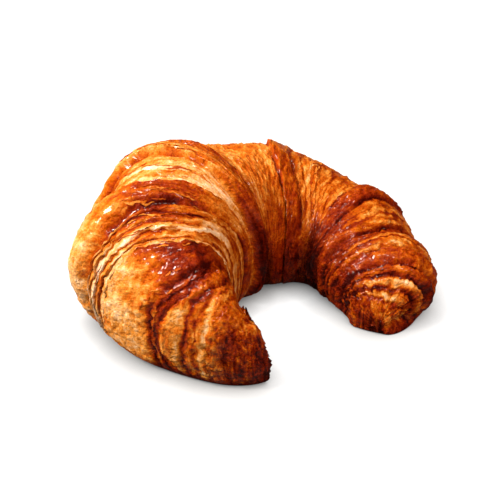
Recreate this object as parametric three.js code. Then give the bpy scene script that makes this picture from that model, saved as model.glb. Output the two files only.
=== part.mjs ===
// A butter croissant: one log of rolled dough, bent into a crescent and baked until its wraps stand apart.
// Millimetres, +Z up. The two arms open toward -Y, and the flat underside lies on z = 0.
//
// A place on the crust has two coordinates. The first runs along the spine, a distance from the middle
// of the croissant that is negative in the left arm. The second is an angle round the section:
// 0 on the outside of the bend, 90 on the crest, 180 in the crook, and 270 underneath.
import * as THREE from 'three';

// Driving dimensions. The sizes across an arm are at the middle, at each quarter of the way and at the tip.
const LEFT_ARM = {
  side: -1,
  length: 104,
  bend: 144,
  halfWidths: [35, 35.5, 30.5, 17.5, 12],
  heights: [58, 65, 56, 44, 31],
  tipTaper: 20,
};
const RIGHT_ARM = {
  side: 1,
  length: 110,
  bend: 141,
  halfWidths: [35, 34.5, 28.5, 24.5, 21],
  heights: [58, 47, 38, 33.5, 29],
  tipTaper: 16,
};
const WIDEST_SHARE = 0.42;     // the section is widest at this share of its height
const SHOULDER = 0.95;         // exponent of the rounding above the widest line
const FOOT = 0.48;             // exponent of the rounding below it, fuller than an ellipse
const FOOT_RISE = 0.75;        // how quickly the foot curls up from the base
const BASE_PRESS = 1.12;       // how far the dough has settled into a flat base
const TIP_WIDTH = 0.15;        // share of its width that an arm keeps at the very tip
const TIP_HEIGHT = 0.36;       // share of its height that it keeps there
const TIP_NOSE = 1.2;          // how far the closed end stands out past the last section

// Seams are read at these angles: outside the bend, on the crest and in the crook.
const READ_ANGLE = 30;

// Bands of crust from the left tip to the right tip. Each band ends at a seam, whose distances from the
// middle are given outside, on the crest and inside. rise says how far the band stands out at its start
// and at its end, and swell how much more than that outside and inside the bend. A layered band shows the
// cut edges of the laminated dough: layers of them, each climbing by its ridge toward the tip and ending
// in a lip. gap is the depth of the seam that ends the band, and steps the number of rings across it.
const FIRST_SEAM = [-104, -100, -92];
const BANDS = [
  { seam: [-95, -92, -87], rise: [0, 0.4], swell: [0, -1], layers: 1, ridge: 0.4, gap: 0.6, steps: 6 },
  { seam: [-89, -87, -82], rise: [0.8, 1.0], swell: [0, -1], layers: 1, ridge: 0, gap: 0.8, steps: 5 },
  { seam: [-74, -79, -74], rise: [0.4, -0.6], swell: [0, -2], layers: 3, ridge: 1.3, gap: 1.8, steps: 10 },
  { seam: [-61, -64, -66], rise: [0.8, 1.2], swell: [-2, -1], layers: 1, ridge: 0, gap: 0.5, steps: 7 },
  { seam: [-49, -48, -52], rise: [-0.4, 1.2], swell: [2.5, 0], layers: 4, ridge: 1.4, gap: 1.8, steps: 13 },
  { seam: [-41, -38, -42], rise: [2.4, 1.6], swell: [5, 0], layers: 1, ridge: 0, gap: 0.6, steps: 6 },
  { seam: [-34, -21, -22], rise: [0.6, 1.8], swell: [-2, 0], layers: 4, ridge: 0.6, gap: 0.7, steps: 12 },
  { seam: [-16, 2, 22], rise: [3.4, 2.4], swell: [-4.5, 3], layers: 1, ridge: 0, gap: 1.5, steps: 11 },
  { seam: [26, 29, 42], rise: [-2.4, -0.2], swell: [-2, 3], layers: 5, ridge: 0.5, gap: 0.7, steps: 15 },
  { seam: [34, 37, 55], rise: [2.2, 1.2], swell: [0, 0], layers: 1, ridge: 0, gap: 0.8, steps: 4 },
  { seam: [59, 60, 66], rise: [0, -1.4], swell: [-1.5, 0], layers: 5, ridge: 0.8, gap: 0.9, steps: 15 },
  { seam: [69, 69, 73], rise: [1.8, 1.0], swell: [0.5, 0], layers: 1, ridge: 0, gap: 0.5, steps: 5 },
  { seam: [80, 83, 88], rise: [0, 0], swell: [-4, -1], layers: 3, ridge: 0.8, gap: 1.6, steps: 9 },
  { seam: [90, 91, 94], rise: [0.8, 0.4], swell: [-4, -1], layers: 1, ridge: 0.6, gap: 1.2, steps: 5 },
  { seam: [100, 101, 102], rise: [1.2, 0.8], swell: [-0.5, 0.5], layers: 1, ridge: 0, gap: 1.0, steps: 6 },
  { seam: [110, 110, 110], rise: [0.6, 0], swell: [0, 1], layers: 1, ridge: 0.3, gap: 0, steps: 7 },
];
const RIDGE_LIP = 0.28;        // share of a ridge that its lip takes
const RIDGE_FADE = 0.5;        // share of its height that a ridge loses here and there on its way round
const CROOK_CLOSES = 1.7;      // ridges and seams flatten where the bend squeezes the crust more than this
const SWELL_ANGLE = 20;        // a swelling is highest this far above the level of the spine
const SEAM_WIDTH = 1.1;        // a seam's groove falls away over this distance
const SEAM_SWAY = 0.9;         // how far a seam wanders from its smooth line
const RELIEF_FADES = [-25, 205];   // angles past which the crust is smooth, toward the base
const FADE_ANGLE = 30;

// Low lumps of dough that rose unevenly: height, waves along the spine and waves round the section.
const LUMPS = [
  { high: 0.5, along: 0.11, around: 2, phase: 0.7 },
  { high: 0.4, along: 0.19, around: 3, phase: 2.1 },
  { high: 0.3, along: 0.31, around: 5, phase: 4.0 },
];

// Crags and loose flakes: where each one is, how long and wide it is, and how high.
const CRAGS = [
  { along: -96, angle: 118, long: 3, wide: 4, high: 2.2 },
  { along: 43, angle: 76, long: 2.2, wide: 3, high: 1.6 },
  { along: -58, angle: 84, long: 3, wide: 3.5, high: 1.0 },
  { along: 97, angle: 40, long: 2.4, wide: 2.4, high: -1.8 },
];

// The mesh has more lines round the crust than across the base.
const CRUST_LINES = 36;
const BASE_LINES = 6;
const BASE_ANGLES = [225, 315];

const CRUST_COLOUR = 0xb8641e;

const radians = (degrees) => degrees * Math.PI / 180;
const mix = (a, b, t) => a + (b - a) * t;
const clamp = (value, low, high) => Math.min(high, Math.max(low, value));
const smooth = (t) => t * t * (3 - 2 * t);

// A smooth curve through evenly spaced values, read at a share t of its length.
function along(values, t) {
  const last = values.length - 1;
  const place = clamp(t, 0, 1) * last;
  const i = Math.min(Math.floor(place), last - 1);
  const u = place - i;
  const slopeAt = (k) => {
    if (k === 0) return 0;
    if (k === last) return values[last] - values[last - 1];
    return (values[k + 1] - values[k - 1]) / 2;
  };
  const keep = 2 * u * u * u - 3 * u * u + 1;
  const start = u * u * u - 2 * u * u + u;
  const end = u * u * u - u * u;
  return keep * values[i] + (1 - keep) * values[i + 1] + start * slopeAt(i) + end * slopeAt(i + 1);
}

// The spine is an arc in each arm. It gives the point and the direction that faces out of the bend.
function spineAt(distance) {
  const arm = distance < 0 ? LEFT_ARM : RIGHT_ARM;
  const radius = arm.length / radians(arm.bend);
  const angle = Math.abs(distance) / radius;
  return {
    x: arm.side * radius * Math.sin(angle),
    y: -radius * (1 - Math.cos(angle)),
    outX: arm.side * Math.sin(angle),
    outY: Math.cos(angle),
  };
}

// Half the width and the height of the bare log at a distance along the spine.
function sizeAt(distance) {
  const arm = distance < 0 ? LEFT_ARM : RIGHT_ARM;
  const travelled = Math.abs(distance);
  const pastTaper = clamp((travelled - arm.length + arm.tipTaper) / arm.tipTaper, 0, 1);
  const rounding = Math.sqrt(Math.max(0, 1 - pastTaper * pastTaper));
  return {
    halfWidth: along(arm.halfWidths, travelled / arm.length) * mix(TIP_WIDTH, 1, rounding),
    height: along(arm.heights, travelled / arm.length) * mix(TIP_HEIGHT, 1, rounding),
  };
}

// The outline of the bare log's section, as shares of the half width and of the height.
function sectionAt(angle) {
  const across = Math.cos(radians(angle));
  const up = Math.sin(radians(angle));
  const exponent = up >= 0 ? SHOULDER : FOOT;
  const out = Math.sign(across) * Math.abs(across) ** exponent;
  if (up >= 0) return { out, up: WIDEST_SHARE + (1 - WIDEST_SHARE) * up };
  const sunk = Math.min(1, Math.abs(up) ** FOOT_RISE * BASE_PRESS);
  return { out, up: WIDEST_SHARE * (1 - sunk) };
}

// Where a seam crosses at an angle, from its three readings.
function seamAt([outer, crest, inner], angle) {
  const lean = -Math.cos(radians(angle)) / Math.cos(radians(READ_ANGLE));
  const bow = (Math.cos(radians(angle)) / Math.cos(radians(READ_ANGLE))) ** 2;
  const sway = SEAM_SWAY * Math.sin(radians(angle) * 4 + crest) * clamp((100 - Math.abs(crest)) / 20, 0, 1);
  return crest + (inner - outer) / 2 * lean + ((inner + outer) / 2 - crest) * bow + sway;
}

// How open the crust is at a place: 1 along most of it, and less in the crook, which the bend squeezes.
function stretchAt(distance, angle) {
  const arm = distance < 0 ? LEFT_ARM : RIGHT_ARM;
  const radius = arm.length / radians(arm.bend);
  const stretch = 1 + Math.cos(radians(angle)) * sizeAt(distance).halfWidth / radius;
  return clamp(stretch * CROOK_CLOSES, 0.2, 1);
}

// The height of the shingled layers at a share t of the way through a band. Their lips face the tip.
function ridgesAt(band, t, angle) {
  const towardTip = band.seam[1] < 0 ? 1 - t : t;
  const place = towardTip * band.layers;
  const layer = Math.min(Math.floor(place), band.layers - 1);
  const u = place - layer;
  const climb = u < 1 - RIDGE_LIP ? u / (1 - RIDGE_LIP) : (1 - u) / RIDGE_LIP;
  const strength = 1 - RIDGE_FADE * (1 + Math.sin(radians(angle) * 3 + layer * 2 + band.seam[1])) / 2;
  return band.ridge * strength * (climb - 0.5);
}

// How far the crust stands out at a share t of the way through a band.
function bandRelief(band, before, t, from, to, angle) {
  const outside = Math.max(0, Math.cos(radians(angle - SWELL_ANGLE)));
  const inside = Math.max(0, -Math.cos(radians(angle + SWELL_ANGLE)));
  const swell = (band.swell[0] * outside ** 2 + band.swell[1] * inside ** 2) * Math.sqrt(Math.sin(Math.PI * t));
  const fromStart = t * (to - from) / SEAM_WIDTH;
  const fromEnd = (1 - t) * (to - from) / SEAM_WIDTH;
  const gaps = before.gap * Math.exp(-fromStart * fromStart) + band.gap * Math.exp(-fromEnd * fromEnd);
  const open = stretchAt(mix(from, to, t), angle);
  return mix(band.rise[0], band.rise[1], smooth(t)) + swell + open * (ridgesAt(band, t, angle) - gaps);
}

function lumpsAt(distance, angle) {
  let height = 0;
  for (const lump of LUMPS) {
    const wave = Math.sin(lump.along * distance + lump.phase) * Math.cos(radians(angle) * lump.around + lump.phase);
    height += lump.high * wave;
  }
  return height;
}

function cragsAt(distance, angle, radius) {
  let height = 0;
  for (const crag of CRAGS) {
    const near = (distance - crag.along) / crag.long;
    const round = radians(angle - crag.angle) * radius / crag.wide;
    height += crag.high * Math.exp(-near * near - round * round);
  }
  return height;
}

// One point of the crust. relief is how far it stands out from the bare log.
function crustPoint(distance, angle, relief) {
  const spine = spineAt(distance);
  const size = sizeAt(distance);
  const section = sectionAt(angle);
  let out = section.out * size.halfWidth;
  let up = section.up * size.height;
  const centre = WIDEST_SHARE * size.height;
  const radius = Math.hypot(out, up - centre);
  const fadeLow = smooth(clamp((angle - RELIEF_FADES[0] + FADE_ANGLE) / FADE_ANGLE, 0, 1));
  const fadeHigh = smooth(clamp((RELIEF_FADES[1] + FADE_ANGLE - angle) / FADE_ANGLE, 0, 1));
  const fade = fadeLow * fadeHigh * clamp(radius / 8, 0, 1);
  const push = (relief + lumpsAt(distance, angle) + cragsAt(distance, angle, radius)) * fade;
  out += push * out / radius;
  up += push * (up - centre) / radius;
  return new THREE.Vector3(spine.x + spine.outX * out, spine.y + spine.outY * out, Math.max(0, up));
}

// The angles of the mesh lines, closely spaced over the crust and widely across the base.
function lineAngles() {
  const angles = [];
  const crustStart = BASE_ANGLES[1] - 360;
  for (let i = 0; i < CRUST_LINES; i += 1) {
    angles.push(mix(crustStart, BASE_ANGLES[0], i / CRUST_LINES));
  }
  for (let i = 0; i < BASE_LINES; i += 1) {
    angles.push(mix(BASE_ANGLES[0], BASE_ANGLES[1], i / BASE_LINES));
  }
  return angles;
}

// The rings of crust points from the left tip to the right tip. Each follows the lean of the seams.
function crustRings(angles) {
  const rings = [];
  let before = { seam: FIRST_SEAM, gap: 0 };
  for (const band of BANDS) {
    for (let i = rings.length === 0 ? 0 : 1; i <= band.steps; i += 1) {
      const t = i / band.steps;
      rings.push(angles.map((angle) => {
        const from = seamAt(before.seam, angle);
        const to = seamAt(band.seam, angle);
        return crustPoint(mix(from, to, t), angle, bandRelief(band, before, t, from, to, angle));
      }));
    }
    before = band;
  }
  return rings;
}

// The point that closes a tip, a little past the middle of its last ring.
function nosePoint(ring, distance) {
  const nose = ring.reduce((sum, point) => sum.add(point), new THREE.Vector3()).divideScalar(ring.length);
  const spine = spineAt(distance);
  nose.x += Math.sign(distance) * spine.outY * TIP_NOSE;
  nose.y -= Math.sign(distance) * spine.outX * TIP_NOSE;
  return nose;
}

function crustGeometry() {
  const angles = lineAngles();
  const rings = crustRings(angles);
  const lines = angles.length;
  const points = rings.flat();
  const indices = [];
  for (let i = 0; i < rings.length - 1; i += 1) {
    for (let j = 0; j < lines; j += 1) {
      const a = i * lines + j;
      const b = i * lines + (j + 1) % lines;
      indices.push(a, b, a + lines, b, b + lines, a + lines);
    }
  }
  const leftNose = points.push(nosePoint(rings[0], -LEFT_ARM.length)) - 1;
  const rightNose = points.push(nosePoint(rings[rings.length - 1], RIGHT_ARM.length)) - 1;
  const lastRing = (rings.length - 1) * lines;
  for (let j = 0; j < lines; j += 1) {
    const next = (j + 1) % lines;
    indices.push(leftNose, next, j);
    indices.push(rightNose, lastRing + j, lastRing + next);
  }
  const geometry = new THREE.BufferGeometry().setFromPoints(points);
  geometry.setIndex(indices);
  geometry.computeVertexNormals();
  return geometry;
}

// The origin is under the middle of the croissant's box, on the surface that it lies on.
const geometry = crustGeometry();
geometry.computeBoundingBox();
const middle = geometry.boundingBox.getCenter(new THREE.Vector3());
geometry.translate(-middle.x, -middle.y, -geometry.boundingBox.min.z);

const crust = new THREE.MeshStandardMaterial({ color: CRUST_COLOUR, roughness: 0.45, metalness: 0 });
const croissant = new THREE.Mesh(geometry, crust);
croissant.name = 'croissant';

const group = new THREE.Group();
group.add(croissant);

export default group;
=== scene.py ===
# %% [markdown]
# # A butter croissant
#
# A croissant is one sheet of laminated dough, rolled up from its wide end, bent into a crescent and
# baked. The egg wash turns its outer skin dark and glossy, and where the roll opens in the oven the cut
# edges of the layers show, pale and dry. This lesson models that one log of dough, then a few flakes that
# have come loose from it, and lights it like a picture for a bakery's menu.

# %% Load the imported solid
import math

import bpy
import numpy as np
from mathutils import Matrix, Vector, noise


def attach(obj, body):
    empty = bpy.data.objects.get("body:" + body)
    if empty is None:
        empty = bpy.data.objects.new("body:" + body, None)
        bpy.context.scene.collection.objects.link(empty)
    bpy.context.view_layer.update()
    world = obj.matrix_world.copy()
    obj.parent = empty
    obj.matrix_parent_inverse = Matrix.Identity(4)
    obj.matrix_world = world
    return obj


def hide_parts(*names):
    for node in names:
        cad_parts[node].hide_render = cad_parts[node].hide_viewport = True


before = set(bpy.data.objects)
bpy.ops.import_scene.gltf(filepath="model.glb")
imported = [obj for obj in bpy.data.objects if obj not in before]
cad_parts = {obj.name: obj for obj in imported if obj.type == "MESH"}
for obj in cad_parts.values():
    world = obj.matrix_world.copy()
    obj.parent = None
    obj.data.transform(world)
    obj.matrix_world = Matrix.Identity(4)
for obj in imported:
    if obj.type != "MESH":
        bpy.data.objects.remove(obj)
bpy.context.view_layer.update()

MM = 0.001
TINY = 1e-6             # lengths below this count as nothing

# %% [markdown]
# ## The log of dough
#
# A place on the crust has two coordinates: the distance along the spine from the middle of the
# croissant, negative in the left arm, and the angle round the section, with 0 outside the bend, 90 on
# the crest, 180 in the crook and 270 underneath. Sculpting by hand would give a fine crust but could not
# be repeated, so the shape is written as functions of those two numbers, from the sizes of each arm.

# %% Sizes of the two arms, in millimetres
LEFT_ARM = {
    "side": -1,
    "length": 106,
    "bend": 146.8,
    "half_widths": [35, 35.2, 30.1, 16.7, 11.2],
    "heights": [58, 65, 56, 44, 25],
    "tip_taper": 20,
    "tip_lift": 10,
}
RIGHT_ARM = {
    "side": 1,
    "length": 113,
    "bend": 144.8,
    "half_widths": [35, 34.5, 28.1, 24.3, 15],
    "heights": [58, 46.8, 37.8, 33.2, 19],
    "tip_taper": 13,
    "tip_lift": 1.6,
}
WIDEST_SHARE = 0.42     # the section is widest at this share of its height
SHOULDER = 0.95         # exponent of the rounding above the widest line
FOOT = 0.48             # exponent of the rounding below it
FOOT_RISE = 0.75        # how quickly the foot curls up from the base
BASE_PRESS = 1.12       # how far the dough has settled into a flat base
TIP_WIDTH = 0.15        # share of its width that an arm keeps at the very tip
TIP_HEIGHT = 0.36       # share of its height that it keeps there
LIFT_POWER = 6          # how late the lift of the tips comes


def mix(a, b, share):
    return a + (b - a) * share


def smooth(share):
    share = np.clip(share, 0, 1)
    return share * share * (3 - 2 * share)


def of_arm(distance, key):
    """The named size of the arm that each distance lies in."""
    return np.where(distance < 0, LEFT_ARM[key], RIGHT_ARM[key])


def through(values, share):
    """A smooth curve through evenly spaced values, read at shares of its length."""
    values = np.array(values, float)
    place = np.clip(share, 0, 1) * (len(values) - 1)
    i = np.minimum(place.astype(int), len(values) - 2)
    u = place - i
    slopes = np.gradient(values)
    slopes[0] = 0
    keep = 2 * u**3 - 3 * u**2 + 1
    start = (u**3 - 2 * u**2 + u) * slopes[i]
    end = (u**3 - u**2) * slopes[i + 1]
    return keep * values[i] + (1 - keep) * values[i + 1] + start + end


def log_size(distance):
    """Half the width and the height of the bare log, and how far its foot is off the table."""
    length = of_arm(distance, "length")
    taper = of_arm(distance, "tip_taper")
    travelled = np.abs(distance)
    past = np.clip((travelled - length + taper) / taper, 0, 1)
    rounding = np.sqrt(1 - past**2)
    widths = []
    heights = []
    for arm in (LEFT_ARM, RIGHT_ARM):
        widths.append(through(arm["half_widths"], travelled / arm["length"]))
        heights.append(through(arm["heights"], travelled / arm["length"]))
    half_width = np.where(distance < 0, widths[0], widths[1]) * mix(TIP_WIDTH, 1, rounding)
    height = np.where(distance < 0, heights[0], heights[1]) * mix(TIP_HEIGHT, 1, rounding)
    lift = of_arm(distance, "tip_lift") * (1 - rounding) ** LIFT_POWER
    return half_width, height, lift


def spine(distance):
    """The point of the spine and the direction out of the bend."""
    radius = of_arm(distance, "length") / np.radians(of_arm(distance, "bend"))
    side = of_arm(distance, "side")
    angle = np.abs(distance) / radius
    point = np.stack([side * radius * np.sin(angle), -radius * (1 - np.cos(angle))], axis=-1)
    out = np.stack([side * np.sin(angle), np.cos(angle)], axis=-1)
    return point, out


def section(angle):
    """The outline of the bare log, as shares of the half width and of the height."""
    across = np.cos(np.radians(angle))
    up = np.sin(np.radians(angle))
    exponent = np.where(up >= 0, SHOULDER, FOOT)
    out = np.sign(across) * np.abs(across) ** exponent
    above = WIDEST_SHARE + (1 - WIDEST_SHARE) * up
    sunk = np.minimum(1, np.abs(up) ** FOOT_RISE * BASE_PRESS)
    return out, np.where(up >= 0, above, WIDEST_SHARE * (1 - sunk))


# %% [markdown]
# ## The wraps
#
# The roll shows as bands that cross the arms. A band of skin is the egg-washed outside of one wrap, and a
# layered band is the side of the wrap, where the lamination has opened into shingles that climb toward
# the tip. Loop cuts would place such bands too, but a table of seams keeps each band's place, height and
# browning together, where they can be compared with a real croissant.
#
# Each row has, in this order, where its end seam lies outside, on the crest and inside; how far its skin
# rises at both seams; a swelling outside and inside; its number of layers; then, each time outside, on the
# crest and inside, the height of its ridges, the depth of the gap at its end, and its browning at both
# seams; and last the gloss of its egg wash.

# %% Bands from the left tip to the right tip
FIRST_SEAM = [-104.2, -99.8, -92.2]
BAND_FIELDS = ("seam", "rise", "swell", "layers", "ridge", "gap", "brown_start", "brown_end", "gloss")
BANDS = [
    ([-91.5, -96, -91], [0, -0.5], [0, -2.5], 3, [0.3, 0.3, 0.3],
     [0.3, 0.4, 0.4], [0.82, 0.6, 0.8], [0.7, 0.5, 0.7], 0.7),
    ([-86.5, -89, -85], [-0.5, 0.5], [0.5, -4], 1, [0, 0, 0],
     [0.5, 0.8, 0.8], [0.6, 0.56, 0.7], [0.42, 0.52, 0.7], 1.0),
    ([-79.5, -84, -81], [0.4, 0.2], [0, -3.5], 2, [0.5, 0.5, 0.3],
     [0.7, 0.8, 0.6], [0.38, 0.48, 0.56], [0.5, 0.54, 0.58], 0.6),
    ([-74.5, -80.5, -78], [0.5, 0.7], [0, -2], 1, [0.5, 0.3, 0.2],
     [1.0, 1.0, 0.5], [0.38, 0.54, 0.52], [0.38, 0.54, 0.55], 0.7),
    ([-70, -76, -75], [-0.8, -0.6], [-0.5, -2], 2, [0.6, 0.4, 0.2],
     [1.2, 1.0, 0.6], [0.8, 0.84, 0.68], [0.74, 0.84, 0.68], 1.0),
    ([-57, -65, -72], [0.8, 1.2], [-2.0, -1], 1, [0.2, 0.2, 0.2],
     [0.3, 0.6, 0.4], [0.32, 0.82, 0.56], [0.16, 0.76, 0.48], 0.55),
    ([-49, -48, -52], [-0.4, 0.8], [1, 0], 5, [1.6, 1.8, 0.8],
     [0.6, 1.2, 0.6], [0.28, 0.42, 0.24], [0.26, 0.6, 0.28], 0.6),
    ([-41, -38, -42], [2.0, 1.4], [5, 0], 1, [0, 0.2, 0],
     [0.4, 0.7, 0.1], [0.26, 0.72, 0.3], [0.16, 0.63, 0.29], 0.9),
    ([-34, -24.5, -31], [-0.2, 0.8], [-4, 0], 4, [0.5, 0.4, 0.1],
     [0.5, 0.7, 0.5], [0.42, 0.24, 0.16], [0.42, 0.28, 0.12], 0.6),
    ([-16, -3, 6], [4.0, 2.6], [-4, 3], 1, [0, 0, 0],
     [0.8, 1.2, 1.2], [0.2, 0.35, 0.54], [0.27, 0.54, 0.52], 1.0),
    ([26, 29, 42], [-2.0, -0.2], [-3, 5], 5, [0.2, 0.2, 0.1],
     [0.5, 0.7, 0.7], [0.4, 0.34, 0.39], [0.44, 0.42, 0.5], 0.4),
    ([34, 37, 53], [1.8, 0.5], [0, 0], 1, [0, 0, 0],
     [0.5, 0.8, 0.8], [0.46, 0.53, 0.62], [0.46, 0.52, 0.6], 0.8),
    ([59, 60, 66], [-0.5, -1.4], [-1, -2.5], 5, [0.4, 0.4, 0.2],
     [0.9, 0.9, 0.5], [0.44, 0.44, 0.52], [0.52, 0.52, 0.7], 0.5),
    ([69, 69, 73], [0.3, 1.1], [1, -2], 1, [0, 0, 0],
     [0.5, 0.5, 0.3], [0.52, 0.58, 0.74], [0.64, 0.74, 0.74], 0.7),
    ([75, 76, 80], [0.2, 0], [-1, -1.5], 2, [0.4, 0.4, 0.3],
     [0.6, 0.6, 0.4], [0.52, 0.56, 0.74], [0.48, 0.5, 0.74], 0.6),
    ([81, 82.5, 87], [0.6, 0.8], [-1.6, 0.6], 1, [0.4, 0.4, 0.2],
     [1.6, 1.6, 0.8], [0.56, 0.54, 0.7], [0.48, 0.47, 0.7], 0.5),
    ([84.5, 86.8, 90], [-0.8, -0.6], [-1, 1], 1, [0.3, 0.3, 0.2],
     [0.5, 0.5, 0.3], [0.66, 0.68, 0.75], [0.6, 0.62, 0.75], 0.8),
    ([92.5, 94, 96.5], [0.8, 0.4], [1.8, -0.3], 2, [0.6, 0.6, 0.4],
     [1.2, 1.2, 0.8], [0.34, 0.33, 0.68], [0.52, 0.52, 0.7], 0.6),
    ([99.5, 100, 101.5], [0.6, 0.7], [2.7, -1.5], 1, [0, 0, 0],
     [1.0, 1.0, 1.0], [0.6, 0.58, 0.76], [0.55, 0.54, 0.8], 0.7),
    ([103.5, 103.6, 104.6], [0.2, 0.8], [3.2, -2], 1, [0.8, 0.8, 0.6],
     [0.9, 0.9, 0.9], [0.72, 0.62, 0.76], [0.66, 0.42, 0.7], 0.8),
    ([106, 106.8, 106.3], [0.2, 0.8], [2.4, -1], 1, [0.6, 0.6, 0.6],
     [0.8, 0.8, 0.8], [0.7, 0.6, 0.74], [0.62, 0.4, 0.7], 0.8),
    ([108, 109.2, 107.8], [0.2, 0.8], [0, -1], 2, [0.6, 0.6, 0.6],
     [1.2, 1.4, 1.2], [0.66, 0.56, 0.72], [0.56, 0.42, 0.68], 0.8),
    ([113, 113, 113], [-0.6, 0.6], [0, 0.5], 1, [0.1, 0.1, 0.1],
     [0, 0, 0], [0.56, 0.56, 0.72], [0.48, 0.48, 0.7], 1.0),
]

bands = {}
for i, field in enumerate(BAND_FIELDS):
    bands[field] = np.array([band[i] for band in BANDS], float)
seams = np.vstack([[FIRST_SEAM], bands["seam"]]).astype(float)
gaps = np.vstack([[0, 0, 0], bands["gap"]])
print(len(BANDS), "bands from", seams[0, 1], "to", seams[-1, 1], "mm")

# %% Noise that closes up round the section
# Noise on the crust: size along, size round, octaves, seed
NOISES = {
    "ridges": (9, 14, 3, 1),
    "lamination": (1.5, 14, 3, 2),
    "blisters": (1.1, 2.6, 4, 3),
    "patches": (6, 8, 4, 4),
    "nub": (16, 4, 3, 5),
    "torn edges": (9, 2.5, 4, 6),
    "gap breaks": (14, 7, 2, 7),
}
ROUND_RADIUS = 28       # a typical radius of the section, which sizes the noise round it
SEEDS_APART = 17.3      # noises with neighbouring seeds are read this far apart
NOISE_DIMENSION = 0.9   # how fast the finer octaves of noise get weaker
NOISE_GAP = 2.0         # how much finer each octave is than the one before


def wrap_place(distance, angle):
    """Coordinates for noise on the crust, in millimetres, which close up round the section."""
    turn = np.radians(angle)
    return np.stack([distance, ROUND_RADIUS * np.cos(turn), ROUND_RADIUS * np.sin(turn)], axis=-1)


def unevenness(distance, angle, size_along, size_round, octaves, seed):
    """Noise about 0, with features of these sizes in millimetres."""
    places = wrap_place(distance, angle) / (size_along, size_round, size_round) + seed * SEEDS_APART
    return np.array([noise.fractal(place, NOISE_DIMENSION, NOISE_GAP, octaves) for place in places])


sample = unevenness(np.arange(60.0), np.zeros(60), *NOISES["blisters"])
print("the noise of the blisters goes from", sample.min().round(2), "to", sample.max().round(2))

# %% Seams and their torn edges
READ_ANGLE = 30         # seams are read this far above the spine's level, on both sides
SEAM_SWAY = 0.9         # how far a seam wanders from its smooth line
SWAY_WAVES = 4          # how many times it does so on its way round
SWAY_ENDS = (80, 100)   # seams sway less beyond the first distance, and not at all beyond the second
RAGGED = 0.8            # how ragged the torn edges are
EDGES_APART = 40.0      # neighbouring seams read their noise this far apart


def seam_at(seam, angle):
    """Where seams cross at an angle, from their readings outside, on the crest and inside."""
    outer, crest, inner = seam[..., 0], seam[..., 1], seam[..., 2]
    lean = -np.cos(np.radians(angle)) / math.cos(math.radians(READ_ANGLE))
    full, none = SWAY_ENDS
    sways = np.clip((none - np.abs(crest)) / (none - full), 0, 1)
    sway = SEAM_SWAY * np.sin(np.radians(angle) * SWAY_WAVES + crest) * sways
    return crest + (inner - outer) / 2 * lean + ((inner + outer) / 2 - crest) * lean**2 + sway


def torn_edge(number, angle):
    """Where the seams with these numbers cross at an angle, with their ragged edges."""
    noise_place = number * EDGES_APART
    return seam_at(seams[number], angle) + RAGGED * unevenness(noise_place, angle, *NOISES["torn edges"])


def read_bands(crest_distance, angle):
    """Each point's band, its share of the way through, and the distances of the seams beside it."""
    band = np.clip(np.searchsorted(seams[:, 1], crest_distance, side="right") - 1, 0, len(BANDS) - 1)
    share = np.clip((crest_distance - seams[band, 1]) / (seams[band + 1, 1] - seams[band, 1]), 0, 1)
    return band, share, torn_edge(band, angle), torn_edge(band + 1, angle)


one_seam = seam_at(seams[np.full(3, 10)], np.array([30, 90, 150]))
print("seam 10 crosses outside, on the crest and inside at", one_seam.round(1), "mm")

# %% Shingles, which the bend squeezes flat in the crook
RIDGE_LIP = 0.2         # share of a ridge that its lip takes
RIDGE_FADE = 0.5        # share of its height that a ridge loses here and there on its way round
RIDGE_WAVES = 3         # how many times it does so
RIDGE_PHASE = 2         # how far the next ridge is out of step with it, in radians
CROOK_CLOSES = 1.7      # ridges and gaps flatten where the crust is squeezed to less than 1 / this
LEAST_OPENING = 0.2     # the share of them that is always left


def shingles(band, share, angle, wander):
    """How far up its ridge each point is, how strong that ridge is there, and the ridge's number."""
    tipward = np.where(seams[band + 1, 1] < 0, -1, 1)
    toward_tip = np.where(tipward < 0, 1 - share, share)
    place = toward_tip * bands["layers"][band] + wander * np.sin(np.pi * share)
    layer = np.clip(np.floor(place), 0, bands["layers"][band] - 1)
    u = np.clip(place - layer, 0, 1)
    climb = np.where(u < 1 - RIDGE_LIP, u / (1 - RIDGE_LIP), (1 - u) / RIDGE_LIP)
    wave = np.sin(np.radians(angle) * RIDGE_WAVES + layer * RIDGE_PHASE + seams[band + 1, 1])
    strength = 1 - RIDGE_FADE * (1 + wave) / 2
    return climb, strength, layer, tipward


def crook_opening(distance, angle):
    """1 along most of the crust, and less in the crook, which the bend squeezes."""
    radius = of_arm(distance, "length") / np.radians(of_arm(distance, "bend"))
    half_width, _, _ = log_size(distance)
    stretch = 1 + np.cos(np.radians(angle)) * half_width / radius
    return np.clip(stretch * CROOK_CLOSES, LEAST_OPENING, 1)


squeezed = crook_opening(np.array([0.0, 0.0]), np.array([0.0, 180.0]))
print("ridges keep", squeezed.round(2), "of their height outside the bend and in the crook")

# %% Values read round the section
READ_ANGLES = (20, 90, 150)     # where browning, ridges and gaps are read


def round_section(readings, angle):
    """A value round the section, from its readings outside, on the crest and inside."""
    low, crest, high = READ_ANGLES
    outer, middle, inner = readings[..., 0], readings[..., 1], readings[..., 2]
    inward = smooth((angle - crest) / (high - crest))
    outward = smooth((crest - angle) / (crest - low))
    return middle + (inner - middle) * inward + (outer - middle) * outward


def brown_at(band, share, angle):
    """The browning of the bands, read across them and round them."""
    start = round_section(bands["brown_start"][band], angle)
    end = round_section(bands["brown_end"][band], angle)
    return mix(start, end, smooth(share))


browns_round = brown_at(np.full(3, 5), np.full(3, 0.5), np.array(READ_ANGLES))
print("halfway through band 5 the browning is", browns_round.round(2))
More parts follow.
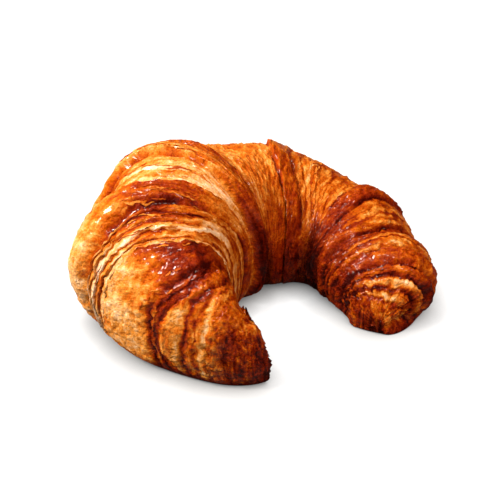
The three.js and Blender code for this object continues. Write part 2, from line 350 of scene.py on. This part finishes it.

# %% [markdown]
# ## The relief, the browning and the painted shade
#
# All that stands up from the bare log or is cut into it is added into one height: the rise and the
# swelling of a band, its ridges, the gaps at its seams, slow lumps, laminations, blisters, and single
# crags and dents. A displacement texture could do the fine part of this, but not lips that lean over the
# next layer, so the points themselves are moved. The browning is worked out from the same numbers, and
# painted shade with it: a gap is painted dark just where it is deep, and so are the places under the
# lips, the crook and the foot by the table.

# %% Sizes of the relief
RIDGE_WANDER = 0.5      # how far ridges wander, as a share of their own width
FULL_RIDGE = 0.7        # a ridge of this height counts as fully layered
OVERHANG = 0.5          # how far a lip leans toward the tip, as a share of the ridge's height
SWELL_ANGLE = 20        # a swelling is highest this far above the level of the spine
SEAM_WIDTH = 0.8        # a seam's groove falls away over this distance
GAP_BREAKS = 1.6        # how much the depth of a gap changes on its way round
GAP_LIMITS = (0.2, 1.7)     # the factors that this change stays between
RELIEF_FADES = (-25, 205)   # the relief is full between these angles
FADE_ANGLE = 30             # and gone this much further down
FULL_RADIUS = 8             # it also fades where the crust is this near to the middle of the section
LAMINATION_RELIEF = (0.12, 0.5)     # how high the laminations stand on skin and on layers
BLISTER_RELIEF = (0.7, 0.45)        # how high the blisters stand on skin and on layers
NUB_START = 109                     # the bare end of the right tip, which is grained upright
NUB_BLEND = 1.5
NUB_RELIEF = 0.35
LEFT_FIBRES = -94                   # the left tip is grained upright from here
LEFT_BLEND = 3
# Slow lumps in the dough: height, radians a millimetre along, waves round, phase
LUMPS = [(0.5, 0.11, 2, 0.7), (0.4, 0.19, 3, 2.1), (0.3, 0.31, 5, 4.0)]
# Crags stand up and dents go in: place along, angle, size along, size round, height
CRAGS = [
    (-99.5, 72, 2.4, 3.4, 2.0),
    (-94, 112, 6, 9, -4.5),
    (-46, -22, 6, 8, -1.0),
    (-58, 84, 3, 3.5, 1.0),
    (-28, 36, 12, 10, -4),
    (9, 78, 8, 12, -3.4),
    (43, 76, 2.2, 3, 1.6),
    (82.5, 34, 9, 17, -4.5),
    (104, 205, 5, 8, -2.2),
    (111, 215, 4, 7, 3),
    (97, 40, 2.4, 2.4, -1.4),
    (109, -24, 7, 12, -7),
]
print(len(CRAGS), "crags and dents")

# %% Sizes of the browning and the painted shade
BASE_BROWN_AND_SHADE = 0.92               # the underside, browned against the tray, and painted shade on the foot by the table
CROOK_SHADE = 0.52              # painted shade: how much darker the crook is painted, where the bend closes it in
CROOK_ANGLES = (120, 180)       # the painted shade deepens from one of these angles to the other
LAYER_TINT = 0.14               # how much the browning of layers differs
LAYER_TURN = 2.4                # that is a sine, which turns this much from one layer to the next
UNDER_LIP = 0.35                # this share of a ridge lies under the lip of the one before
UNDER_LIP_SHADE = 0.36              # painted shade: how much darker it is painted there
CLIMB_PALE = 0.16               # how much paler a ridge is at its lip
GROOVE_SHADE = 0.12             # painted shade: how much darker a gap is painted for each millimetre of its depth
GROOVE_MOST = 2                 # down to this depth
PATCH_BROWN = 0.15              # how much broad patches change the browning
LAMINATION_BROWN = 0.3          # how much the laminations do, on layers
BLISTER_PALE = 0.2              # how much paler a blister is, on skin
print("the underside is baked to", BASE_BROWN_AND_SHADE)

# %% The crust as a function


def crust(crest_distance, angle, above=0):
    """The place of each point of the crust in millimetres, and what its finish depends on."""
    band, share, start, end = read_bands(crest_distance, angle)
    distance = mix(start, end, share)
    outside = np.maximum(0, np.cos(np.radians(angle - SWELL_ANGLE)))
    inside = np.maximum(0, -np.cos(np.radians(angle + SWELL_ANGLE)))
    swell = bands["swell"][band, 0] * outside**2 + bands["swell"][band, 1] * inside**2
    rise = mix(bands["rise"][band, 0], bands["rise"][band, 1], smooth(share))

    before = np.exp(-((share * (end - start) / SEAM_WIDTH) ** 2))
    after = np.exp(-(((1 - share) * (end - start) / SEAM_WIDTH) ** 2))
    groove = round_section(gaps[band], angle) * before + round_section(gaps[band + 1], angle) * after
    breaks = 1 + GAP_BREAKS * unevenness(distance, angle, *NOISES["gap breaks"])
    groove = groove * np.clip(breaks, *GAP_LIMITS)
    wander = RIDGE_WANDER * unevenness(crest_distance, angle, *NOISES["ridges"])
    climb, strength, layer, tipward = shingles(band, share, angle, wander)
    bare_ridge = round_section(bands["ridge"][band], angle)
    ridge = bare_ridge * strength
    opening = crook_opening(distance, angle)
    layered = smooth(bare_ridge / FULL_RIDGE)

    relief = rise + swell * np.sqrt(np.sin(np.pi * share)) + opening * (ridge * (climb - 0.5) - groove)
    for high, along, around, phase in LUMPS:
        relief += high * np.sin(along * distance + phase) * np.cos(np.radians(angle) * around + phase)
    lamination = unevenness(distance, angle, *NOISES["lamination"])
    blisters = unevenness(distance, angle, *NOISES["blisters"])
    fine = mix(*LAMINATION_RELIEF, layered) * lamination + mix(*BLISTER_RELIEF, layered) * blisters
    relief += opening * fine
    nub = smooth((crest_distance - NUB_START) / NUB_BLEND)
    relief += NUB_RELIEF * nub * unevenness(distance, angle, *NOISES["nub"])
    distance = distance + tipward * OVERHANG * ridge * climb * opening

    half_width, height, lift = log_size(distance)
    across, up = section(angle)
    across = across * half_width
    up = up * height
    centre = WIDEST_SHARE * height
    radius = np.maximum(np.hypot(across, up - centre), TINY)
    for place, turn, long, wide, high in CRAGS:
        near = ((distance - place) / long) ** 2 + (np.radians(angle - turn) * radius / wide) ** 2
        relief += high * np.exp(-near)
    fade = smooth((angle - RELIEF_FADES[0] + FADE_ANGLE) / FADE_ANGLE)
    fade = fade * smooth((RELIEF_FADES[1] + FADE_ANGLE - angle) / FADE_ANGLE)
    fade = fade * np.clip(radius / FULL_RADIUS, 0, 1)
    push = relief * fade + above
    across = across + push * across / radius
    up = up + push * (up - centre) / radius
    point, out = spine(distance)
    flat = point + out * across[..., None]
    place = np.concatenate([flat, (np.maximum(0, up) + lift)[..., None]], axis=-1)

    layer_tint = LAYER_TINT * np.sin((layer + 1) * LAYER_TURN + seams[band, 1]) * layered
    # painted shade under the lip of the ridge before, and the paler cut edge at each lip
    under = smooth(1 - climb / UNDER_LIP)
    shade = layered * strength * (UNDER_LIP_SHADE * under - CLIMB_PALE * climb)
    # the browning, with the painted shade of lips, gaps, crook and foot added to it
    brown = brown_at(band, share, angle) + shade + layer_tint
    # painted shade in the gaps, darker where they are deeper
    brown += GROOVE_SHADE * np.clip(groove, 0, GROOVE_MOST)
    brown += PATCH_BROWN * unevenness(distance, angle, *NOISES["patches"])
    brown += LAMINATION_BROWN * layered * lamination
    brown -= BLISTER_PALE * blisters * (1 - layered)
    # painted shade in the crook, where the bend closes the crust in
    crook = smooth((angle - CROOK_ANGLES[0]) / (CROOK_ANGLES[1] - CROOK_ANGLES[0]))
    brown += CROOK_SHADE * crook * (1 - opening)
    # the underside keeps its tray browning, and the foot by the table is painted dark as shade
    brown = mix(BASE_BROWN_AND_SHADE, brown, fade)
    finish = {
        "layered": layered,
        "brown": brown,
        "gloss": bands["gloss"][band] * fade,
        "fibre": np.maximum(nub, smooth((LEFT_FIBRES - crest_distance) / LEFT_BLEND)),
    }
    return place, finish


crest_of_middle, _ = crust(np.array([0.0]), np.array([90.0]))
print("the middle of the croissant is", round(crest_of_middle[0, 2], 1), "mm high")

# %% [markdown]
# ## The crust as a mesh
#
# The log starts as a cylinder, the way a roll of dough does, with a fan of faces on each end. Its long
# edges are cut into rings with Subdivide, which keeps the faces in straight rows, and each point is then
# moved to its place on the croissant. Bending a finished log with a modifier would squash the relief in
# the crook; moving the points by their two coordinates does not.

# %% Roll out the cylinder
LINES = 180             # lines of points round the section
RINGS = 540             # rings of faces along the spine
CAP_SHARE = 0.12        # share of the rings that each tip gets
CAP_LENGTHS = (10, 14)  # the length of the left and the right tip that they cover
MIDDLE = (0.7, -28.1)   # the middle of the croissant's outline on the table, in the spine's own frame
FIRST_CUTS = 8          # the long edges are cut into nine, and each ninth is cut again
HUB_RADIUS = 0.5        # only the middles of the two fans are nearer to the cylinder's axis


def deselect_all():
    bpy.ops.object.select_all(action="DESELECT")


def select_long_edges(mesh_object):
    """Selects the edges that run along the cylinder, in edit mode."""
    bpy.ops.object.mode_set(mode="OBJECT")
    mesh = mesh_object.data
    for edge in mesh.edges:
        a, b = (mesh.vertices[i].co for i in edge.vertices)
        edge.select = abs(a.z - b.z) > TINY and min(a.xy.length, b.xy.length) > HUB_RADIUS
    bpy.ops.object.mode_set(mode="EDIT")


deselect_all()
bpy.ops.mesh.primitive_cylinder_add(vertices=LINES, radius=1, depth=2, end_fill_type="TRIFAN")
croissant = bpy.context.object
croissant.name = "crust"
bpy.ops.object.mode_set(mode="EDIT")
bpy.ops.mesh.select_mode(type="EDGE")
bpy.ops.mesh.select_all(action="DESELECT")
select_long_edges(croissant)
bpy.ops.mesh.subdivide(number_cuts=FIRST_CUTS)
bpy.ops.mesh.select_all(action="DESELECT")
select_long_edges(croissant)
bpy.ops.mesh.subdivide(number_cuts=RINGS // (FIRST_CUTS + 1) - 1)
bpy.ops.object.mode_set(mode="OBJECT")
print(croissant.name, "has", len(croissant.data.polygons), "faces")

# %% Shape it into the croissant
points = np.empty(len(croissant.data.vertices) * 3)
croissant.data.vertices.foreach_get("co", points)
points = points.reshape(-1, 3)
ends = np.hypot(points[:, 0], points[:, 1]) < HUB_RADIUS
along = (points[:, 2] + 1) / 2
left_end, right_end = seams[0, 1], seams[-1, 1]
left_cap, right_cap = left_end + CAP_LENGTHS[0], right_end - CAP_LENGTHS[1]
body = mix(left_cap, right_cap, (along - CAP_SHARE) / (1 - 2 * CAP_SHARE))
left = left_end + CAP_LENGTHS[0] * (1 - np.cos(np.clip(along / CAP_SHARE, 0, 1) * np.pi / 2))
right = right_end - CAP_LENGTHS[1] * (1 - np.cos(np.clip((1 - along) / CAP_SHARE, 0, 1) * np.pi / 2))
crest_distance = np.where(along < CAP_SHARE, left, np.where(along > 1 - CAP_SHARE, right, body))
angle = (np.degrees(np.arctan2(points[:, 1], points[:, 0])) + 90) % 360 - 90
place, finish = crust(crest_distance, angle)
for end in np.flatnonzero(ends):
    ring = np.isclose(points[:, 2], points[end, 2]) & ~ends
    place[end] = place[ring].mean(axis=0)
place *= MM
recentre = -np.array([*MIDDLE, 0]) * MM
place += recentre
croissant.data.vertices.foreach_set("co", place.ravel())
croissant.data.update()
print("the croissant is", np.round((place.max(axis=0) - place.min(axis=0)) / MM, 1), "mm")

# %% Keep the finish on the points
for name, values in finish.items():
    attribute = croissant.data.attributes.new(name, "FLOAT", "POINT")
    attribute.data.foreach_set("value", values.astype(np.float32))
wrap = croissant.data.attributes.new("wrap", "FLOAT_VECTOR", "POINT")
wrap.data.foreach_set("vector", wrap_place(crest_distance, angle).astype(np.float32).ravel())
deselect_all()
croissant.select_set(True)
bpy.context.view_layer.objects.active = croissant
bpy.ops.object.mode_set(mode="EDIT")
bpy.ops.mesh.select_all(action="SELECT")
bpy.ops.mesh.normals_make_consistent(inside=False)
bpy.ops.object.mode_set(mode="OBJECT")
bpy.ops.object.shade_smooth()
print("attributes:", [a.name for a in croissant.data.attributes if not a.name.startswith(".")])

# %% [markdown]
# ## Loose flakes
#
# The thinnest layers tear off as the croissant springs up, and stand a little off the crust. They are a
# separate piece, because a sheet of 0.2 mm can't be raised out of the crust's own mesh. One flake is a
# grid with a thickness from Solidify, and each copy is laid on the crust by the same two coordinates.

# %% One flat flake
# Flakes: crest distance, angles from and to, how many, length round, width, curl
FLAKE_SETS = [
    (-47.0, 55, 112, 12, [3, 7], [0.3, 0.7], 0.4),
    (-44.0, 80, 108, 6, [3, 6], [0.3, 0.6], 0.3),
    (-75.5, 15, 70, 6, [3, 5], [0.4, 0.9], 0.5),
    (-66, 60, 130, 8, [3, 8], [0.4, 0.8], 0.35),
    (-57.5, 15, 120, 10, [4, 10], [0.4, 0.8], 0.4),
    (-52.5, 15, 120, 8, [4, 10], [0.4, 0.8], 0.4),
    (-31, 60, 130, 6, [4, 9], [0.4, 0.8], 0.3),
    (-22, 60, 110, 8, [3, 7], [0.4, 0.8], 0.4),
    (-3.5, 90, 150, 7, [5, 9], [0.5, 0.9], 0.4),
    (15, 70, 120, 6, [4, 9], [0.4, 0.8], 0.3),
    (29, 60, 130, 5, [4, 8], [0.4, 0.8], 0.4),
    (37.5, 65, 130, 6, [4, 8], [0.5, 1.0], 0.4),
    (47, 55, 130, 14, [4, 9], [0.4, 0.9], 0.5),
    (59.5, 60, 120, 5, [3, 7], [0.5, 1.1], 0.5),
    (82, 30, 110, 4, [4, 8], [0.4, 0.8], 0.4),
    (93.5, 30, 120, 4, [4, 8], [0.4, 0.8], 0.4),
]
FLAKE_CUTS = (10, 4)    # faces along and across a flake
FLAT_THICK = 0.1        # thickness of the flat flake, which is one unit long and wide
FLAKE_THICK = 0.22      # thickness of a flake on the crust, in millimetres
FLAKE_GAP = 0.12        # how far it is off the crust
FLAKE_TUCK = 0.4        # how far its root lies back from the lip
FLAKE_SCATTER = 1.2     # how far flakes are from their line
FLAKE_SLANT = 0.12      # how far they turn out of it
FLAKE_PLACES = (0.2, 0.8)   # where a flake lies in its share of the arc
FLAKE_BROWNS = (0.3, 0.6)   # the browning of the palest and the darkest
EDGE_WAVE = 0.2         # how much a flake's edge waves
EDGE_WAVES = 17         # how fast it waves, in radians from end to end
FLAKE_CREASE = 40       # edges of a flake sharper than this stay sharp
rng = np.random.default_rng(7)
deselect_all()
bpy.ops.mesh.primitive_grid_add(x_subdivisions=FLAKE_CUTS[0], y_subdivisions=FLAKE_CUTS[1], size=1)
flat_flake = bpy.context.object
flat_flake.name = "flat flake"
thickness = flat_flake.modifiers.new("thickness", "SOLIDIFY")
thickness.thickness = FLAT_THICK
thickness.offset = 0
bpy.ops.object.modifier_apply(modifier="thickness")
flat = np.empty(len(flat_flake.data.vertices) * 3)
flat_flake.data.vertices.foreach_get("co", flat)
flat = flat.reshape(-1, 3)
print("one flake has", len(flat_flake.data.polygons), "faces")

# %% Lay the copies along the lips
flake_objects = []
for crest, first, last, count, lengths, widths, curl in FLAKE_SETS:
    for number in range(count):
        length = rng.uniform(*lengths)
        width = rng.uniform(*widths)
        middle_angle = mix(first, last, (number + rng.uniform(*FLAKE_PLACES)) / count)
        middle_crest = crest + rng.normal(0, FLAKE_SCATTER)
        slant = rng.normal(0, FLAKE_SLANT)
        tipward = -1 if crest < 0 else 1
        oval = np.sqrt(np.clip(1 - (2 * flat[:, 0]) ** 2, 0, 1))
        taper = oval * (1 - EDGE_WAVE + EDGE_WAVE * np.sin(flat[:, 0] * EDGE_WAVES + number))
        reach = (flat[:, 1] + 0.5) * width * taper
        turn = middle_angle + np.degrees(flat[:, 0] * length / ROUND_RADIUS)
        crest_places = middle_crest + tipward * (reach - FLAKE_TUCK) + slant * flat[:, 0] * length
        sheet = flat[:, 2] / (FLAT_THICK / 2) * FLAKE_THICK / 2
        above = FLAKE_GAP + curl * (reach / width) ** 2 + sheet
        flake_place, _ = crust(crest_places, turn, above)
        copy = bpy.data.objects.new("flake", flat_flake.data.copy())
        bpy.context.collection.objects.link(copy)
        copy.data.vertices.foreach_set("co", (flake_place * MM + recentre).ravel())
        tint = copy.data.attributes.new("brown", "FLOAT", "POINT")
        tint.data.foreach_set("value", np.full(len(flat), rng.uniform(*FLAKE_BROWNS), np.float32))
        flake_objects.append(copy)
bpy.data.objects.remove(flat_flake)
deselect_all()
for copy in flake_objects:
    copy.select_set(True)
bpy.context.view_layer.objects.active = flake_objects[0]
bpy.ops.object.join()
flakes = bpy.context.object
flakes.name = "loose_flakes"
bpy.ops.object.shade_smooth_by_angle(angle=math.radians(FLAKE_CREASE))
print(len(flake_objects), "flakes in", flakes.name)

# %% [markdown]
# ## The baked finish
#
# One dough gives many browns: pale straw where a layer was sheltered, orange where the butter fried it,
# and red-brown to nearly black where egg wash met the hottest air. A single brown would look like clay,
# so a colour ramp turns a browning value into colour, and noise breaks that value up at several sizes.
# The browns are a node group, because the crust and the flakes share them, and so is the grain, which
# keeps the crust's own material short. The shine of the egg wash is a coat over a nearly dull dough, as a
# shiny dough would look like plastic.

# %% Helpers for node groups


def to_linear(hex_colour):
    """A screen colour as the linear values that shaders expect."""
    parts = [int(hex_colour[i : i + 2], 16) / 255 for i in (0, 2, 4)]
    return [c / 12.92 if c <= 0.04045 else ((c + 0.055) / 1.055) ** 2.4 for c in parts] + [1]


def new_group(name, inputs, outputs):
    """A shader node group with its sockets. Returns the tree, its input node and its output node."""
    tree = bpy.data.node_groups.new(name, "ShaderNodeTree")
    for label, kind, default in inputs:
        socket = tree.interface.new_socket(label, in_out="INPUT", socket_type=kind)
        if default is not None:
            socket.default_value = default
    for label, kind in outputs:
        tree.interface.new_socket(label, in_out="OUTPUT", socket_type=kind)
    return tree, tree.nodes.new("NodeGroupInput"), tree.nodes.new("NodeGroupOutput")


def fill(tree, node, values):
    """Fills the inputs of a node, with a link from a socket or with a plain value."""
    for label, value in values.items():
        if isinstance(value, bpy.types.NodeSocket):
            tree.links.new(value, node.inputs[label])
        else:
            node.inputs[label].default_value = value


def add(tree, kind, values=None, **settings):
    """Adds a node, sets its properties and fills its inputs."""
    node = tree.nodes.new(kind)
    for name, value in settings.items():
        setattr(node, name, value)
    fill(tree, node, values or {})
    return node


def maths(tree, operation, a, b=0.0, clamp=False):
    return add(tree, "ShaderNodeMath", {0: a, 1: b}, operation=operation, use_clamp=clamp).outputs[0]


def noise_value(tree, place, scale, detail, roughness=0.5):
    values = {"Vector": place, "Scale": scale, "Detail": detail, "Roughness": roughness}
    return add(tree, "ShaderNodeTexNoise", values).outputs["Fac"]


def even_noise(tree, place, weight, scale, detail, roughness=0.5):
    """Noise about 0, times a weight."""
    about_zero = maths(tree, "SUBTRACT", noise_value(tree, place, scale, detail, roughness), 0.5)
    return maths(tree, "MULTIPLY", about_zero, weight)


def new_material(name):
    """A material with its node tree and its shader."""
    material = bpy.data.materials.new(name)
    material.use_nodes = True
    return material, material.node_tree, material.node_tree.nodes["Principled BSDF"]


# %% Browning: a value becomes the colour of baked dough
# the darkest browns also serve the painted shade in gaps, under lips, in the crook and on the foot
BROWNS = [
    (0.0, "F5D5B2"),
    (0.14, "F4BA7C"),
    (0.3, "DE8C34"),
    (0.46, "C05A03"),
    (0.62, "983300"),
    (0.78, "761A00"),
    (0.9, "540D00"),
    (1.0, "3A0400"),
]
# Two sizes of speckle: weight, scale, detail, roughness
SPECKLES = (0.34, 600, 4, 0.65)
SPECKS = (0.3, 1700, 2, 0.5)
browning, browning_in, browning_out = new_group(
    "Browning",
    [("Place", "NodeSocketVector", None), ("Brown", "NodeSocketFloat", 0.5)],
    [("Colour", "NodeSocketColor")],
)
spot = browning_in.outputs["Place"]
speckles = even_noise(browning, spot, *SPECKLES)
specks = even_noise(browning, spot, *SPECKS)
brown = maths(browning, "ADD", browning_in.outputs["Brown"], maths(browning, "ADD", speckles, specks))
ramp = add(browning, "ShaderNodeValToRGB", {"Fac": brown})
ramp.color_ramp.elements[0].color = to_linear(BROWNS[0][1])
ramp.color_ramp.elements[1].color = to_linear(BROWNS[-1][1])
for position, colour in BROWNS[1:-1]:
    ramp.color_ramp.elements.new(position).color = to_linear(colour)
browning.links.new(ramp.outputs["Color"], browning_out.inputs["Colour"])
print("browning group with", len(BROWNS), "browns")

# %% Grain: streaks that run round the wraps
STREAK_SIZE = {"Along": 0.8, "Round": 9}    # in millimetres, along the spine and round the wrap
GRAIN_DETAIL = 4
grain, grain_in, grain_out = new_group(
    "Grain",
    [
        ("Wrap", "NodeSocketVector", None),
        ("Along", "NodeSocketFloat", STREAK_SIZE["Along"]),
        ("Round", "NodeSocketFloat", STREAK_SIZE["Round"]),
    ],
    [("Value", "NodeSocketFloat")],
)
along_size, round_size = grain_in.outputs["Along"], grain_in.outputs["Round"]
sizes = add(grain, "ShaderNodeCombineXYZ", {0: along_size, 1: round_size, 2: round_size}).outputs["Vector"]
wrap_in = grain_in.outputs["Wrap"]
scaled = add(grain, "ShaderNodeVectorMath", {0: wrap_in, 1: sizes}, operation="DIVIDE").outputs[0]
grain.links.new(even_noise(grain, scaled, 1.0, 1, GRAIN_DETAIL), grain_out.inputs["Value"])
print("grain group with", len(grain.nodes), "nodes")

# %% The crust material
STREAK_SKIN = 0.1           # strength of the streaks on skin
STREAK_LAYERS = 0.8         # what layers add to it
STREAK_BROWN = 0.6          # how much of the streaks shows in the browning
UPRIGHT = (1, 1, 0.12)      # squashes the height, so that noise stretches into upright fibres
FIBRE_SCALE = 750
BLISTER_SCALE = 450
BLISTER_ROUGHNESS = 0.6
FINE_DETAIL = 4
BUMP_HEIGHT = 0.0018        # in metres
WET_SCALE = 200             # the egg wash lies in patches of this noise
WET_DETAIL = 3
DRY_BELOW = 0.36            # there is none where the noise is below this
WET_CONTRAST = 4.0          # how sharp the edges of the patches are
COAT = 0.7
COAT_ROUGHNESS = 0.13
DULL = 0.6                  # roughness of the dough without egg wash
WASH_SMOOTHS = 0.28         # what the egg wash takes from it
DOUGH_SPECULAR = 0.04       # the dough hardly shines by itself

crust_material, tree, shader = new_material("baked crust")
objects = add(tree, "ShaderNodeTexCoord").outputs["Object"]
wrap_vector = add(tree, "ShaderNodeAttribute", attribute_name="wrap").outputs["Vector"]


def attribute_value(tree, name):
    return add(tree, "ShaderNodeAttribute", attribute_name=name).outputs["Fac"]


layered = attribute_value(tree, "layered")
streak = add(tree, "ShaderNodeGroup", {"Wrap": wrap_vector, **STREAK_SIZE}, node_tree=grain).outputs["Value"]
strength = maths(tree, "ADD", STREAK_SKIN, maths(tree, "MULTIPLY", layered, STREAK_LAYERS))
streak = maths(tree, "MULTIPLY", streak, strength)
upright = add(tree, "ShaderNodeVectorMath", {0: objects, 1: UPRIGHT}, operation="MULTIPLY").outputs[0]
fibres = even_noise(tree, upright, attribute_value(tree, "fibre"), FIBRE_SCALE, FINE_DETAIL)
# the brown attribute holds browning and painted shade together
value = maths(tree, "ADD", attribute_value(tree, "brown"), maths(tree, "MULTIPLY", streak, STREAK_BROWN))
value = maths(tree, "ADD", value, fibres)
colour = add(tree, "ShaderNodeGroup", {"Place": objects, "Brown": value}, node_tree=browning)

blisters = noise_value(tree, objects, BLISTER_SCALE, FINE_DETAIL, BLISTER_ROUGHNESS)
height = maths(tree, "ADD", blisters, maths(tree, "ADD", streak, fibres))
bump = add(tree, "ShaderNodeBump", {"Height": height, "Strength": 1.0, "Distance": BUMP_HEIGHT})
gloss = attribute_value(tree, "gloss")
wet = maths(tree, "SUBTRACT", noise_value(tree, objects, WET_SCALE, WET_DETAIL), DRY_BELOW)
wet = maths(tree, "MULTIPLY", wet, WET_CONTRAST, clamp=True)
crust_inputs = {
    "Base Color": colour.outputs["Colour"],
    "Normal": bump.outputs["Normal"],
    "Coat Weight": maths(tree, "MULTIPLY", gloss, maths(tree, "MULTIPLY", wet, COAT)),
    "Coat Roughness": COAT_ROUGHNESS,
    "Roughness": maths(tree, "SUBTRACT", DULL, maths(tree, "MULTIPLY", gloss, WASH_SMOOTHS)),
    "Specular IOR Level": DOUGH_SPECULAR,
}
fill(tree, shader, crust_inputs)
croissant.data.materials.append(crust_material)
print("crust material has", len(tree.nodes), "nodes")

# %% The flakes' material: the same browns, dry
FLAKE_ROUGHNESS = 0.55
FLAKE_SPECULAR = 0.1
flake_material, flake_tree, flake_shader = new_material("dry flake")
flake_values = {
    "Place": add(flake_tree, "ShaderNodeTexCoord").outputs["Object"],
    "Brown": attribute_value(flake_tree, "brown"),
}
flake_colour = add(flake_tree, "ShaderNodeGroup", flake_values, node_tree=browning).outputs["Colour"]
flake_inputs = {
    "Base Color": flake_colour,
    "Roughness": FLAKE_ROUGHNESS,
    "Specular IOR Level": FLAKE_SPECULAR,
}
fill(flake_tree, flake_shader, flake_inputs)
flakes.data.materials.append(flake_material)
print("flake material has", len(flake_tree.nodes), "nodes")

# %% [markdown]
# ## Stage, lights and camera
#
# The croissant lies on a table that glows for the camera alone: it looks as white as a page, throws no
# light up at the crust, and has a painted contact shadow, where ambient occlusion dims its glow near the
# crust. A small warm key light stands high on the left, so that the left arm is bright and the right arm
# falls into shade. A side light and a back light draw the edges, a large fill opens the shadows, and an
# orange bounce is the light that the arms throw at each other. The large lights are left out of
# reflections, which would lay a grey veil over the browns, and two small ones are seen only there, as
# glints in the egg wash. The camera looks down at the open side of the bend from half a metre away, with a
# long lens that keeps both arms in proportion.

# %% Floor
FLOOR_SIZE = 6          # in metres
FLOOR_ROUGHNESS = 0.9
FLOOR_GREY = 0.12       # how much light the table throws back
FLOOR_GLOW = 0.97       # how bright the camera sees it
CONTACT = 0.01          # how near to the croissant the glow fades into a painted contact shadow
deselect_all()
bpy.ops.mesh.primitive_plane_add(size=FLOOR_SIZE, location=(0, 0, 0))
floor = bpy.context.object
floor.name = "floor"
floor_material, floor_tree, floor_shader = new_material("white table")
# painted contact shadow: ambient occlusion dims the floor's glow near the croissant
near = add(floor_tree, "ShaderNodeAmbientOcclusion", {"Distance": CONTACT}, samples=16)
seen = add(floor_tree, "ShaderNodeLightPath").outputs["Is Camera Ray"]
floor_inputs = {
    "Base Color": (FLOOR_GREY, FLOOR_GREY, FLOOR_GREY, 1),
    "Roughness": FLOOR_ROUGHNESS,
    "Specular IOR Level": 0,
    "Emission Color": near.outputs["Color"],
    "Emission Strength": maths(floor_tree, "MULTIPLY", seen, FLOOR_GLOW),
}
fill(floor_tree, floor_shader, floor_inputs)
floor.data.materials.append(floor_material)
print("floor material has", len(floor_tree.nodes), "nodes")

# %% Lights
VIEW_AZIMUTH = -35.7
VIEW_ELEVATION = 35.7
WARM = (1, 0.92, 0.82)
ORANGE = (1, 0.42, 0.1)
LIT_POINT = (0, 0, 0.02)


def aim(thing, target):
    thing.rotation_mode = "QUATERNION"
    thing.rotation_quaternion = (Vector(target) - thing.location).to_track_quat("-Z", "Y")


def place_round(azimuth, elevation, distance, target):
    """The point in this direction from a target. Azimuth 0 is in front, and 90 is on the right."""
    a, e = math.radians(azimuth), math.radians(elevation)
    back = Vector((math.sin(a) * math.cos(e), -math.cos(a) * math.cos(e), math.sin(e)))
    return Vector(target) + back * distance


def soft_light(name, azimuth, elevation, distance, size, watts, colour=WARM, shines=True, lights=True):
    """A round light aimed at the croissant, which can be left out of reflections or be seen only there."""
    bpy.ops.object.light_add(type="AREA", location=place_round(azimuth, elevation, distance, LIT_POINT))
    light = bpy.context.object
    light.name = name
    light.data.shape = "DISK"
    light.data.size = size
    light.data.energy = watts
    light.data.color = colour
    light.visible_glossy = shines
    light.visible_diffuse = lights
    aim(light, LIT_POINT)


deselect_all()
soft_light("key", VIEW_AZIMUTH - 75, 45, 0.9, 0.18, 12)
soft_light("side light", VIEW_AZIMUTH - 105, 18, 0.9, 0.5, 5, shines=False)
soft_light("back light", VIEW_AZIMUTH - 165, 42, 0.9, 0.12, 3)
soft_light("fill", VIEW_AZIMUTH + 30, 65, 1.0, 1.0, 7.5, shines=False)
soft_light("bounce", VIEW_AZIMUTH + 60, 35, 0.9, 0.6, 2.6, ORANGE, shines=False)
soft_light("right glint", VIEW_AZIMUTH + 30, 60, 0.9, 0.14, 3, lights=False)
soft_light("left glint", VIEW_AZIMUTH - 35, 68, 0.9, 0.14, 3, lights=False)

# %% World
WORLD_LIGHT = 0.12
world = bpy.data.worlds.new("studio")
bpy.context.scene.world = world
world.use_nodes = True
world.node_tree.nodes["Background"].inputs["Color"].default_value = (1, 1, 1, 1)
world.node_tree.nodes["Background"].inputs["Strength"].default_value = WORLD_LIGHT
world.cycles_visibility.glossy = False
print("the world gives", WORLD_LIGHT, "of white light from all sides")

# %% Camera
VIEW_TARGET = (-0.0029, -0.0046, 0.025)
VIEW_DISTANCE = 0.508
LENS = 88.5
SENSOR_WIDTH = 36
NEAREST = 0.01          # the camera sees nothing nearer than this
bpy.ops.object.camera_add(location=place_round(VIEW_AZIMUTH, VIEW_ELEVATION, VIEW_DISTANCE, VIEW_TARGET))
camera = bpy.context.object
camera.data.lens = LENS
camera.data.sensor_width = SENSOR_WIDTH
camera.data.clip_start = NEAREST
aim(camera, VIEW_TARGET)
bpy.context.scene.camera = camera
bpy.context.scene.view_settings.view_transform = "Standard"
print("the camera is at", [round(c, 3) for c in camera.location], "m")

# %% Finish
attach(croissant, "root")
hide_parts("croissant")
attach(flakes, "root")
